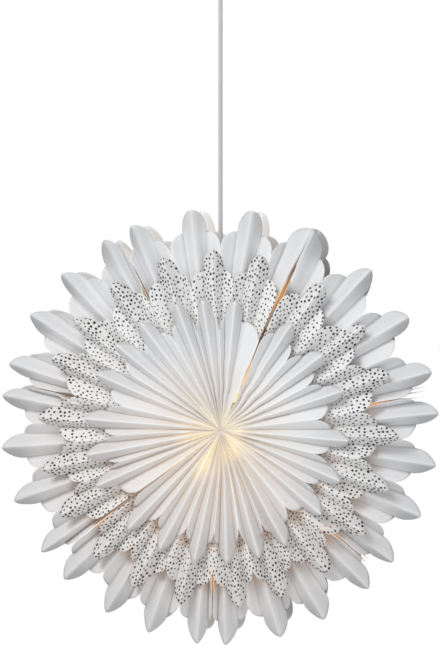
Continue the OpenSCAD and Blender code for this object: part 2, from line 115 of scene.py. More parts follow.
# Where its walls are pale, without their painted shade, and catch less lamplight, given the same way
SLIT_COVERS = ((0.052, 0.058, 0.064, 0.070), (0.096, 0.106, 0.145, 0.155))

# Brightness of each tier's long tips, which turn away from the light
TIP_TONES = {"inner": 0.91, "dotted": 0.95, "outer": 0.93}

# How much each tier's petals curl back
CURLS = {"inner": 1.0, "dotted": 1.0, "outer": 1.6}

# Lamplight leaks from under the tier before up to this radius and fades past it. The inner tier has none.
LEAKS = {"inner": -1.0, "dotted": 0.152, "outer": 0.208}

# Where the bulb's light is strongest on the paper, from the star's centre
LIT_SPOT = (-0.008, -0.020)

# Patches where its light shines through: sideways and upward place, radius, strength
BRIGHT_PATCHES = ((-0.016, -0.048, 0.028, 0.36), (0.012, -0.030, 0.024, 0.6), (0.022, -0.001, 0.014, 0.6),
                  (-0.040, -0.004, 0.030, 0.18), (0.0, -0.006, 0.034, 0.27))

# The seam walls start clear of the lamp and end in two points, with a hollow between them. They end a little
# under the paper, and are never narrower than WALL_LEAST.
WALL_START = 0.060
WALL_SPIKES = (0.250, 0.254, 0.256, 0.266, 0.264, 0.272, 0.282, 0.250)
WALL_HOLLOW = 0.244
WALL_ROWS = 60
WALL_COLUMNS = 8
WALL_SINK = 0.0022
WALL_LEAST = 0.0004

# Radii between which the walls bend from the inner tier's seam to the dotted one's and on to the outer's
WALL_BENDS = ((0.105, 0.150), (0.160, 0.200))

# Each wall's flap beside the dotted tier lies between these radii and bends this far to its sides
FLAP_START = 0.165
FLAP_END = 0.228
FLAP_BENDS = (0.003, 0.006, 0.006, 0.001, 0.001, 0.001, 0.001, 0.003)

# Lamplight on the walls near the lamp and beside the dotted tier: the radius where it is strongest, how far
# it spreads, and its strength on each wall from the open joint on
WALL_GLOWS = ((0.05, 0.07, (1.5, 0.1, 0.2, 1.2, 0.5, 0.4, 0.4, 1.5)),
              (0.20, 0.03, (0.7, 0.05, 0.1, 0.8, 0.8, 0.9, 1.2, 0.7)))


def length(name, text, default):
    return bpy.props.FloatProperty(name=name, description=text, default=default, unit="LENGTH", precision=4)


def number(name, text, default):
    return bpy.props.FloatProperty(name=name, description=text, default=default)


def share(name, text, default):
    return bpy.props.FloatProperty(name=name, description=text, default=default, min=0, subtype="FACTOR")


def bearing(name, text, degrees):
    return bpy.props.FloatProperty(
        name=name, description=text, default=math.radians(degrees), subtype="ANGLE")


def colour(name, text, default):
    return bpy.props.FloatVectorProperty(
        name=name, description=text, default=default, subtype="COLOR", size=3, min=0, max=1)


SHEET_SIZES = (
    ("tip_r", "Tip radius", "Radius at the tips of the long petals"),
    ("lobe_r", "Lobe radius", "Radius where the short lobes end"),
    ("notch_r", "Notch radius", "Radius of the notches between lobes"),
    ("start_r", "Start radius", "Radius of the sheet's inner edge"),
    ("apex_h", "Apex height", "Height of the sheet's apex over the middle plane"),
    ("tip_h", "Tip height", "Height of the long tips over the middle plane"),
    ("pleat", "Pleat depth", "Depth of the pleats at the lobes"),
    ("gap", "Seam gap", "Half the gap between two fans at their seam"),
    ("joint_gap", "Joint gap", "Half the gap at the open joint"),
)


def sheet_settings(name, text, point, **sizes):
    """The settings of one tier of petals. Each tier has the same ones, with its own sizes."""
    values = {key: length(label, what, sizes[key]) for key, label, what in SHEET_SIZES}
    values["point"] = number("Tip shape", "2 for a round tip, less for a pointed one", point)
    return type(name, (bpy.types.PropertyGroup,), {"__doc__": text, "__annotations__": values})


InnerSheet = sheet_settings(
    "InnerSheet", "Sizes of the inner tier of petals", point=1.45, tip_r=0.178, lobe_r=0.154, notch_r=0.131,
    start_r=0.0002, apex_h=0.086, tip_h=0.091, pleat=0.0150, gap=0.0, joint_gap=0.0012)
DottedSheet = sheet_settings(
    "DottedSheet", "Sizes of the dotted tier of petals", point=1.55, tip_r=0.244, lobe_r=0.217, notch_r=0.193,
    start_r=0.092, apex_h=0.0965, tip_h=0.069, pleat=0.0165, gap=0.0003, joint_gap=0.0003)
OuterSheet = sheet_settings(
    "OuterSheet", "Sizes of the outer tier of petals", point=1.4, tip_r=0.300, lobe_r=0.270, notch_r=0.247,
    start_r=0.152, apex_h=0.079, tip_h=0.045, pleat=0.0175, gap=0.0008, joint_gap=0.0024)


class PaperSettings(bpy.types.PropertyGroup):
    """Paper, its print and its glow"""
    thickness: length("Thickness", "Thickness of the petal paper", 0.00035)
    curl: length("Curl", "How far the petals' sides curl back at the rim", 0.0035)
    bow: length("Bow", "How far each facet bows between its creases", 0.0012)
    wobble: length("Wobble", "Unevenness of the hand-folded pleats", 0.0045)
    jitter: bearing("Crease shift", "How far a crease strays to one side", 0.5)
    dot_gap: length("Dot spacing", "Least distance between the middles of two printed dots", 0.0051)
    dot_r: length("Dot radius", "Radius of a middling dot", 0.00145)
    plain: colour("Plain paper", "Colour of the plain tiers", (0.826, 0.840, 0.858))
    printed: colour("Dotted paper", "Ground colour of the dotted tier", (0.860, 0.866, 0.867))
    # The inner faces are the same paper: their slight warm tint is painted lamplight
    inside: colour("Inner face", "Colour of the paper's inner faces", (0.86, 0.85, 0.845))
    # The walls are the same white paper as the petals: this brown is painted shade, warmed by painted
    # lamplight
    wall: colour("Seam walls", "Colour of the paper between the fans", (0.75, 0.62, 0.50))
    wall_glow: colour("Wall glow", "Colour of the lamplight on the seam walls", (1.0, 0.57, 0.24))
    leak: colour("Leaking light", "Colour of the paper where lamplight leaks out", (0.80, 0.55, 0.38))
    ink: colour("Ink", "Colour of the printed dots", (0.02, 0.019, 0.02))
    warm: colour("Lamp glow", "Colour of lamplight through the paper near the lamp", (1.0, 0.86, 0.36))
    rim: colour("Rim glow", "Colour of lamplight on the inner faces at the rim", (1.0, 0.975, 0.955))
    glow: share("Glow strength", "Strength of the lamplight through the paper", 0.26)


class CordSettings(bpy.types.PropertyGroup):
    """The pendant cord"""
    diameter: length("Diameter", "Diameter of the cord's sheath", 0.0058)
    top_z: length("Top", "Height of the cord's upper end, in the ceiling cup", -0.034)
    end_z: length("End", "Height of the cord's lower end, in the lampholder", -0.647)
    sheath: colour("Sheath", "Colour of the cord's sheath", (0.53, 0.53, 0.56))


class StageSettings(bpy.types.PropertyGroup):
    """Camera, lamps and floor"""
    azimuth: bearing("Azimuth", "Camera's turn to the right of the front", 4.0)
    elevation: bearing("Elevation", "Camera's height over the star's centre", 7.5)
    distance: length("Distance", "Camera to star's centre", 2.30)
    lens: number("Lens", "Focal length in millimetres", 92.1)
    aim_x: length("Aim sideways", "Picture's centre from the star's centre", -0.0007)
    aim_z: length("Aim upwards", "Picture's centre over the star's centre", 0.1440)
    floor_z: length("Floor", "Height of the floor", -2.25)


class LanternSettings(bpy.types.PropertyGroup):
    """All settings of the lantern"""
    inner: bpy.props.PointerProperty(type=InnerSheet)
    dotted: bpy.props.PointerProperty(type=DottedSheet)
    outer: bpy.props.PointerProperty(type=OuterSheet)
    paper: bpy.props.PointerProperty(type=PaperSettings)
    cord: bpy.props.PointerProperty(type=CordSettings)
    stage: bpy.props.PointerProperty(type=StageSettings)


# Node trees

def put(tree, kind, inputs=(), **settings):
    """Adds a node, sets its settings, and links or fills its inputs, given by name or number."""
    node = tree.nodes.new(kind)
    for key, value in settings.items():
        setattr(node, key, value)
    for key, value in dict(inputs).items():
        socket = node.inputs[key]
        value = value.socket if isinstance(value, Field) else value
        if isinstance(value, bpy.types.NodeSocket):
            tree.links.new(value, socket)
        else:
            socket.default_value = value
    return node


def maths(tree, operation, *values):
    return put(tree, "ShaderNodeMath", enumerate(values), operation=operation).outputs[0]


def blend_colour(tree, factor, a, b, mode="MIX"):
    node = put(tree, "ShaderNodeMix", {0: factor, 6: a, 7: b}, data_type="RGBA", blend_type=mode)
    return node.outputs[2]


def ramp(tree, value, low, high, to_low=0.0, to_high=1.0):
    return put(tree, "ShaderNodeMapRange", {0: value, 1: low, 2: high, 3: to_low, 4: to_high},
               interpolation_type="SMOOTHSTEP").outputs[0]


class Field:
    """A value in a node tree. Arithmetic with it adds maths nodes."""

    def __init__(self, tree, socket):
        self.tree = tree
        self.socket = socket

    def to(self, operation, *others):
        return Field(self.tree, maths(self.tree, operation, self, *others))

    def __add__(self, other):
        return self.to("ADD", other)

    def __sub__(self, other):
        return self.to("SUBTRACT", other)

    def __rsub__(self, other):
        return Field(self.tree, maths(self.tree, "SUBTRACT", other, self))

    def __mul__(self, other):
        return self.to("MULTIPLY", other)

    def __truediv__(self, other):
        return self.to("DIVIDE", other)

    def __pow__(self, other):
        return self.to("POWER", other)

    def larger(self, other):
        return self.to("MAXIMUM", other)

    def smaller(self, other):
        return self.to("MINIMUM", other)

    def even(self, low, high, to_low, to_high):
        """Goes evenly from one value to another between two limits."""
        node = put(self.tree, "ShaderNodeMapRange", {0: self, 1: low, 2: high, 3: to_low, 4: to_high})
        return Field(self.tree, node.outputs[0])

    def smooth(self, low, high, to_low, to_high):
        """Goes gently from one value to another between two limits."""
        return Field(self.tree, ramp(self.tree, self, low, high, to_low, to_high))

    def rise(self, low, high):
        return self.smooth(low, high, 0.0, 1.0)

    def fade(self, low, high):
        return self.smooth(low, high, 1.0, 0.0)

    def whole(self):
        return put(self.tree, "FunctionNodeFloatToInt", {0: self}).outputs[0]


def rgba(c):
    return (*c, 1.0)


def new_material(name):
    material = bpy.data.materials.new(name)
    material.use_nodes = True
    tree = material.node_tree
    tree.nodes.clear()
    out = put(tree, "ShaderNodeOutputMaterial")
    shader = put(tree, "ShaderNodeBsdfPrincipled")
    tree.links.new(shader.outputs[0], out.inputs[0])
    return material, tree, shader


def object_place(tree):
    return put(tree, "ShaderNodeTexCoord").outputs["Object"]


def noise(tree, place, scale, detail=2.0, roughness=0.5):
    return put(tree, "ShaderNodeTexNoise",
               {"Vector": place, "Scale": scale, "Detail": detail, "Roughness": roughness}).outputs[0]


def bump(tree, shader, height, strength, distance):
    node = put(tree, "ShaderNodeBump", {"Height": height, "Strength": strength, "Distance": distance})
    tree.links.new(node.outputs[0], shader.inputs["Normal"])


def attribute(tree, name):
    return put(tree, "ShaderNodeAttribute", attribute_name=name).outputs["Fac"]


# Materials

def scaled(tree, tint, *factors):
    """A colour made lighter or darker by one or more grey factors."""
    for factor in factors:
        grey = put(tree, "ShaderNodeCombineColor", {0: factor, 1: factor, 2: factor}).outputs[0]
        tint = blend_colour(tree, 1.0, tint, grey, "MULTIPLY")
    return tint


def paper_material(name, paper, base, lit=False, rim=None, yellow=(0.05, 0.5)):
    """Uncoated paper with worn bright creases. The inner face is lit by the lamp."""
    material, tree, shader = new_material(name)
    place = object_place(tree)
    cloudy = ramp(tree, noise(tree, place, 9, 3), 0.3, 0.7, 0.975, 1.015)
    across = maths(tree, "MULTIPLY", attribute(tree, "share"), 330)
    along = maths(tree, "MULTIPLY", attribute(tree, "radius"), 9)
    grain = put(tree, "ShaderNodeCombineXYZ", {0: across, 1: along}).outputs[0]
    streaks = noise(tree, grain, 1, 2, 0.6)
    streaky = ramp(tree, streaks, 0.3, 0.7, 0.975, 1.012)
    # Painted shade darkens the paper in its valleys, at its long tips and on faces turned down
    tint = scaled(tree, rgba(base), cloudy, attribute(tree, "painted_shade"), streaky)
    # Painted lamplight: near the bulb the paper is tinted warm
    lamplit_paper = tuple(a * b for a, b in zip(base, (1.04, 0.92, 0.775)))
    tint = blend_colour(tree, attribute(tree, "lamplight_tint"), tint, rgba(lamplit_paper))
    tint = blend_colour(tree, maths(tree, "MULTIPLY", attribute(tree, "leak"), 0.55), tint, rgba(paper.leak))
    # Painted shade on the right of the inner faces
    if lit:
        tint = scaled(tree, tint, attribute(tree, "shade"))
    # Pale creases, partly from wear and partly a painted highlight where the rounded crest catches light. On
    # the seam walls this lifts their painted shade where they are lit.
    tint = blend_colour(tree, attribute(tree, "crease"), tint, (0.97, 0.97, 0.97, 1))
    tree.links.new(tint, shader.inputs["Base Color"])
    shader.inputs["Roughness"].default_value = 0.62
    shader.inputs["Specular IOR Level"].default_value = 0.3
    # The glow is painted lamplight: the warm lamp colour where it is strong, the rim colour where it is weak
    glow = attribute(tree, "inside" if lit else "glow")
    shade = blend_colour(tree, ramp(tree, glow, *yellow), rgba(rim or paper.rim), rgba(paper.warm))
    tree.links.new(shade, shader.inputs["Emission Color"])
    tree.links.new(maths(tree, "MULTIPLY", glow, paper.glow), shader.inputs["Emission Strength"])
    fibres = maths(tree, "ADD", noise(tree, place, 900, 4, 0.65), maths(tree, "MULTIPLY", streaks, 0.8))
    bump(tree, shader, fibres, 0.14, 0.0004)
    return material


def plain_material(name, base, roughness, metallic=0.0, grain=300, depth=0.00005):
    """Moulded, painted or metal finish with a slight unevenness in colour and surface."""
    material, tree, shader = new_material(name)
    place = object_place(tree)
    uneven = ramp(tree, noise(tree, place, 40, 3), 0.3, 0.7, 0.97, 1.03)
    tree.links.new(scaled(tree, rgba(base), uneven), shader.inputs["Base Color"])
    shader.inputs["Metallic"].default_value = metallic
    worn = ramp(tree, noise(tree, place, 120, 4), 0.3, 0.7, roughness * 0.85, min(1, roughness * 1.2))
    tree.links.new(worn, shader.inputs["Roughness"])
    bump(tree, shader, noise(tree, place, grain, 2), 0.3, depth)
    return material


def lamp_material(name, base, strength):
    material, tree, shader = new_material(name)
    place = object_place(tree)
    frost = ramp(tree, noise(tree, place, 500, 2), 0.3, 0.7, 0.94, 1.0)
    tree.links.new(blend_colour(tree, frost, (0.9, 0.85, 0.75, 1), rgba(base)), shader.inputs["Base Color"])
    shader.inputs["Roughness"].default_value = 0.25
    shader.inputs["Emission Color"].default_value = (1.0, 0.76, 0.45, 1)
    shader.inputs["Emission Strength"].default_value = strength
    return material


# Meshes

def link_object(name, mesh):
    obj = bpy.data.objects.new(name, mesh)
    bpy.context.scene.collection.objects.link(obj)
    return obj


def mesh_object(name, points, faces, smooth=True):
    mesh = bpy.data.meshes.new(name)
    mesh.from_pydata(points, [], faces)
    mesh.validate()
    mesh.update()
    for face in mesh.polygons:
        face.use_smooth = smooth
    return link_object(name, mesh)


def bake_modifiers(obj):
    """Turns what the modifiers make into the object's plain mesh."""
    graph = bpy.context.evaluated_depsgraph_get()
    done = bpy.data.meshes.new_from_object(obj.evaluated_get(graph))
    obj.modifiers.clear()
    obj.data = done
    return obj


def rounded(outline, radius):
    """A closed outline of (radius, height, marked) with its unmarked corners rounded off."""
    done = []
    for k, (r, h, *marked) in enumerate(outline):
        corner = Vector((r, h))
        back = Vector(outline[k - 1][:2]) - corner
        ahead = Vector(outline[(k + 1) % len(outline)][:2]) - corner
        if marked or r == 0 or back.angle(ahead) > math.radians(155):
            done.append((r, h, bool(marked)))
            continue
        cut = min(radius, 0.4 * back.length, 0.4 * ahead.length)
        start, end = corner + back.normalized() * cut, corner + ahead.normalized() * cut
        for t in (0, 0.3, 0.7, 1):
            done.append((*(start * (1 - t) ** 2 + corner * 2 * t * (1 - t) + end * t * t), False))
    return done


def lathe(name, outline, material, z=0.0, corner=0.4, steps=64, wave=None):
    """Turns a closed outline, in millimetres, round Z. The wave moves its marked points in or out."""
    outline = rounded(outline, corner)
    n = len(outline)
    points = []
    for i in range(steps):
        a = 2 * math.pi * i / steps
        for r, h, marked in outline:
            r += wave(a, h) if marked else 0
            points.append((r * math.cos(a) * MM, r * math.sin(a) * MM, (z + h) * MM))
    faces = [(i * n + j, ((i + 1) % steps) * n + j, ((i + 1) % steps) * n + (j + 1) % n, i * n + (j + 1) % n)
             for i in range(steps) for j in range(n)]
    obj = mesh_object(name, points, faces)
    shape = bmesh.new()
    shape.from_mesh(obj.data)
    bmesh.ops.remove_doubles(shape, verts=shape.verts, dist=0.000001)
    bmesh.ops.recalc_face_normals(shape, faces=shape.faces)
    shape.to_mesh(obj.data)
    shape.free()
    sharpen(obj, 40)
    obj.data.materials.append(material)
    return obj


def run(r, low, high, rows):
    """Marked points of an outline, along a straight side."""
    return [(r, low + (high - low) * i / rows, True) for i in range(rows + 1)]


def ribs(count, depth):
    return lambda a, h: -depth * (0.5 - 0.5 * math.cos(count * a)) ** 2


def thread(pitch, depth, low, high):
    """A screw thread that fades out at both ends."""
    def wave(a, h):
        fade = max(0, min(1, (h - low) / pitch, (high - h) / pitch))
        return -depth * (0.5 - 0.5 * math.cos(2 * math.pi * h / pitch - a)) * fade
    return wave


def cut_away(obj, cutter):
    """Cuts one object's shape out of another and drops the first."""
    cut = obj.modifiers.new("cut", "BOOLEAN")
    cut.operation = "DIFFERENCE"
    cut.solver = "EXACT"
    cut.object = cutter
    bake_modifiers(obj)
    bpy.data.objects.remove(cutter)


def stand_for(obj, node, body):
    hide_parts(node)
    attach(obj, body)


# Petals

# Kept with each point of the flat pattern: its share of the fan's width, its radius, 0 on a ridge to 1 in a
# valley, the facet's number, 1 on a long petal, how far the rim is, and how far its column reaches outwards
PATTERN_VALUES = ("share", "radius", "valley", "facet", "petal", "rim", "reach")

# What the folding nodes are given besides the pattern, the print switch and the material
FOLD_VALUES = ("Start Angle", "Spread", "Apex Height", "Tip Height", "Tip Radius", "Pleat Slope", "Curl",
               "Bow", "Wobble", "Jitter", "Notch Radius", "Start Gap", "End Gap", "Leak Radius", "Tuck",
               "Tip Tone", "Softness", "Dot Spacing", "Dot Radius", "Seed")


def fan_span(kind, fan):
    """The two edges of a fan, in degrees."""
    gape = 0 if kind == "outer" else 1
    return SEAMS[kind][fan] + gape * GAPING[fan], SEAMS[kind][fan + 1] - gape * GAPING[fan + 1]


def creases_of(kind, fan):
    """(share of the fan's width, kind of crease) across one fan."""
    start, end = fan_span(kind, fan)
    tips = PETALS[kind][fan]
    notches = [start, *((a + b) / 2 for a, b in zip(tips, tips[1:])), end]
    marks = []
    for tip, low, high in zip(tips, notches, notches[1:]):
        half = BLUNT_WIDTH if tip in (start, end) else HALF_WIDTH[kind]
        marks.append((tip, TIP))
        for edge, side in ((low, -1), (high, 1)):
            if edge != tip:
                half_here = min(half, PETAL_SHARE * abs(tip - edge))
                marks += [(tip + side * half_here, LOBE), (edge, NOTCH)]
    return [((angle - start) / (end - start), crease) for angle, crease in sorted(set(marks))]


def facet_columns(left, right, sheet, point):
    """Across one facet: share of the fan, outline radius, 0 on the ridge to 1 in the valley."""
    reach = {TIP: sheet.tip_r, LOBE: sheet.lobe_r, NOTCH: sheet.notch_r}
    a, b = reach[left[1]], reach[right[1]]
    steps = 6 if NOTCH in (left[1], right[1]) else 9
    columns = []
    low, high = min(a, b), max(a, b)
    for i in range(steps + 1):
        t = math.pi / 2 * i / steps
        across = 1 - math.cos(t) if a < b else math.sin(t)
        to_high = 1 - across if a < b else across
        radius = low + (high - low) * math.sqrt(max(0, 1 - to_high ** point))
        valley = DEPTHS[left[1]] * (1 - across) + DEPTHS[right[1]] * across
        columns.append((left[0] + (right[0] - left[0]) * across, radius, valley, TIP in (left[1], right[1])))
    return columns


def store(mesh, label, values):
    """Keeps one value for each point of a mesh."""
    mesh.attributes.new(label, "FLOAT", "POINT").data.foreach_set("value", values)


def flat_pattern(name, sheet, fan):
    """The flat cut of one fan, with its fold kept as attributes on its points."""
    creases = creases_of(name, fan)
    point = sheet.point + BLUNTNESS[fan]
    columns = []
    for k in range(len(creases) - 1):
        new = facet_columns(creases[k], creases[k + 1], sheet, point)
        columns += [(*c, k + j / (len(new) - 1)) for j, c in enumerate(new)][0 if k == 0 else 1:]
    widen = math.hypot(1, sheet.pleat / sheet.lobe_r / (FAN_SPREAD / (len(creases) - 1)))
    points, data = [], []
    for share_, radius, valley, petal, facet in columns:
        for j in range(PATTERN_ROWS + 1):
            v = (j / PATTERN_ROWS) ** ROW_CROWDING
            r = sheet.start_r + (radius - sheet.start_r) * v
            turn = FAN_SPREAD * widen * share_
            points.append((r * math.sin(turn), r * math.cos(turn), 0))
            data.append((share_, r, valley, facet, petal, radius - r,
                         (radius - sheet.notch_r) / (sheet.lobe_r - sheet.notch_r)))
    n = PATTERN_ROWS + 1
    faces = [(i * n + j, i * n + j + 1, (i + 1) * n + j + 1, (i + 1) * n + j)
             for i in range(len(columns) - 1) for j in range(PATTERN_ROWS)]
    mesh = bpy.data.meshes.new(f"flat_{name}")
    mesh.from_pydata(points, [], faces)
    for label, values in zip(PATTERN_VALUES, zip(*data)):
        store(mesh, label, values)
    flat = mesh.uv_layers.new(name="paper")
    for loop in mesh.loops:
        flat.data[loop.index].uv = points[loop.vertex_index][:2]
    return mesh


def pattern_value(tree, label):
    node = put(tree, "GeometryNodeInputNamedAttribute", {"Name": label}, data_type="FLOAT")
    return Field(tree, node.outputs[0])


def scattered_dots(tree, flat, given):
    """Round dots strewn evenly over the visible part of the flat cut."""
    radius = pattern_value(tree, "radius")
    places = put(tree, "GeometryNodeDistributePointsOnFaces", {
        "Mesh": flat, "Selection": radius.to("GREATER_THAN", DOTS_START), "Seed": given["Seed"].whole(),
        "Distance Min": given["Dot Spacing"], "Density Max": 160000.0,
        "Density Factor": radius.smooth(0.15, 0.235, 1.0, 0.85)}, distribute_method="POISSON")
    disc = put(tree, "GeometryNodeMeshCircle", {"Vertices": 8, "Radius": 1.0}, fill_type="TRIANGLE_FAN")
    chance = put(tree, "FunctionNodeRandomValue", {2: 0.75, 3: 1.3}, data_type="FLOAT").outputs[1]
    size = Field(tree, chance) * (given["Dot Radius"] * radius.smooth(0.14, 0.235, 0.76, 1.12))
    discs = put(tree, "GeometryNodeInstanceOnPoints", {
        "Points": places.outputs[0], "Instance": disc.outputs[0], "Scale": size})
    return put(tree, "GeometryNodeRealizeInstances", {"Geometry": discs.outputs[0]}).outputs[0]


def waver(tree, given, across, along, detail=0.0):
    """Soft noise from -0.5 to 0.5, which differs from fan to fan."""
    place = put(tree, "ShaderNodeCombineXYZ", {0: across, 1: along, 2: given["Seed"]}).outputs[0]
    return Field(tree, noise(tree, place, 1.0, detail)) - 0.5


def edge_gaps(given, radius):
    """Angles by which a fan's two edges stand back from its seams."""
    open_here = radius.rise(0.18, 0.185)
    for start, clear, closing, end in SLIT_OPENINGS:
        open_here = open_here.larger(radius.rise(start, clear) * radius.fade(closing, end))
    narrowing = radius.even(0.235, 0.268, 1.0, 0.05) * open_here / radius.larger(0.02)
    return given["Start Gap"] * narrowing, given["End Gap"] * narrowing


def folded_height(tree, given, radius, valley, facet):
    """How far the paper lies from the middle plane once it is folded."""
    outward = radius / given["Tip Radius"]
    slope = (given["Tip Height"] - given["Apex Height"]) / given["Tip Radius"]
    soft_valley = valley - given["Softness"] * (valley * (2 * math.pi)).to("SINE")
    fall = given["Pleat Slope"] * radius.smooth(0.02, 0.095, 1.55, 1.0) * soft_valley
    height = given["Apex Height"] + radius * (slope - fall)
    across = valley * 2.0 - 1.0
    height = height + given["Bow"] * (1.0 - across * across) * outward
    free = radius.even(given["Notch Radius"], given["Tip Radius"], 0.0, 1.0)
    height = height - given["Curl"] * valley * (free * free)
    rough = waver(tree, given, facet * 0.45, radius * 7.0, 1.0) * (given["Wobble"] * outward)
    height = height + rough * 2.0
    crowded = radius.smooth(0.0, 0.07, 0.006, 0.0) * (radius / 0.02).smaller(1.0)
    height = height + waver(tree, given, facet * 1.1, 9.0) * crowded
    return height - given["Tuck"] * radius.fade(*TUCK_FADE)


def distance(x, z, place_x, place_z):
    """How far the paper lies from a place, seen from the front."""
    aside = x - place_x
    below = z - (STAR_Z + place_z)
    return (aside * aside + below * below).to("SQRT")


def lamp_glow(tree, given, x, z, valley, facet):
    """Lamplight through the paper, which each pleat passes differently, and the warm tint that it gives."""
    pleat = (facet / 2.0).to("ROUND").whole()
    chance = put(tree, "FunctionNodeRandomValue", {"ID": pleat, "Seed": given["Seed"].whole()},
                 data_type="FLOAT").outputs[1]
    passed = Field(tree, chance) ** 3.0 * 1.9 + 0.12
    from_bulb = distance(x, z, *LIT_SPOT)
    glow = from_bulb.fade(0.004, 0.075) * (valley ** 1.6 * 0.8 + 0.2) * passed
    for place_x, place_z, reach, strength in BRIGHT_PATCHES:
        patch = distance(x, z, place_x, place_z).smooth(reach * 0.2, reach, strength, 0.0)
        glow = glow + patch * (valley * 0.7 + 0.3)
    return glow, from_bulb.fade(0.01, 0.15) * (valley * 0.55 + 0.45)


def worn_creases_and_painted_shade(tree, given, angle, radius, valley, facet):
    """Pale worn creases, and the paper's tone, darker in valleys, at long tips and on faces turned down."""
    facet_width = radius * 0.075
    # Where the creases are pale: partly wear, partly a painted highlight where the rounded crest catches
    # light, most on the inner tier
    worn = radius.rise(0.03, 0.06) * radius.smooth(0.13, 0.22, 1.0, 0.35)
    crease = (valley * facet_width).smooth(0.0, 0.0013, 0.85, 0.0) * worn
    # Painted shade in the valleys
    valley_shade = ((1.0 - valley) * facet_width).smooth(0.0, 0.0020, 0.80, 1.0)
    # Painted shade at the long tips, which turn away from the light, and slightly lighter below them
    out_there = pattern_value(tree, "petal") * (radius / given["Notch Radius"])
    tip_shade = out_there.smooth(0.65, 1.15, 1.03, given["Tip Tone"])
    # Painted shade on the faces turned down, near the rim
    which = facet.to("FLOOR").to("MODULO", 2.0) * 2.0 - 1.0
    faces_down = (which * angle.to("COSINE")).rise(0.0, 0.6)
    shaded = faces_down * radius.smooth(0.245, 0.290, 0.0, 0.28)
    return crease, valley_shade * tip_shade * (1.0 - shaded)


def light_inside(angle, radius):
    """Light on the inner faces, from the lamp and from outside, and the shade on their right."""
    outside = (angle - math.radians(130)).to("COSINE").smooth(-0.2, 0.7, 0.0, 0.36)
    outside = outside * radius.smooth(0.235, 0.285, 0.35, 1.0)
    lamp = radius.smooth(0.05, 0.20, 0.7, 0.10) + radius.smooth(0.03, 0.09, 1.8, 0.0)
    return lamp + outside, angle.to("COSINE").smooth(0.1, 0.6, 1.0, 0.36)


def leaking_light(tree, given, angle, radius, share_):
    """Brown light that leaks from under a tier, along the seams, through the tips and at the notches."""
    rim, reach = pattern_value(tree, "rim"), pattern_value(tree, "reach")
    low = angle.to("SINE").smooth(-0.9, 0.35, 1.0, 0.1)
    start = given["Leak Radius"]
    under_tier = low * radius.fade(start, start + 0.030)
    from_seam = share_.smaller(1.0 - share_) * (radius * 0.9)
    along_seam = radius.rise(0.15, 0.20) * radius.fade(0.20, 0.25)
    at_seam = low * along_seam * from_seam.smooth(0.0, 0.010, 0.7, 0.0)
    tinted = (angle - math.radians(245)).to("COSINE").smooth(-0.6, 0.8, 0.07, 0.25)
    at_tips = tinted * radius.smooth(0.235, 0.29, 1.0, 0.4)
    at_notches = rim.fade(0.0008, 0.0040) * reach.fade(0.0, 0.8)
    at_notches = at_notches * angle.to("SINE").smooth(-0.5, 0.4, 1.8, 0.35)
    return under_tier.larger(at_seam).larger(at_tips).larger(at_notches)


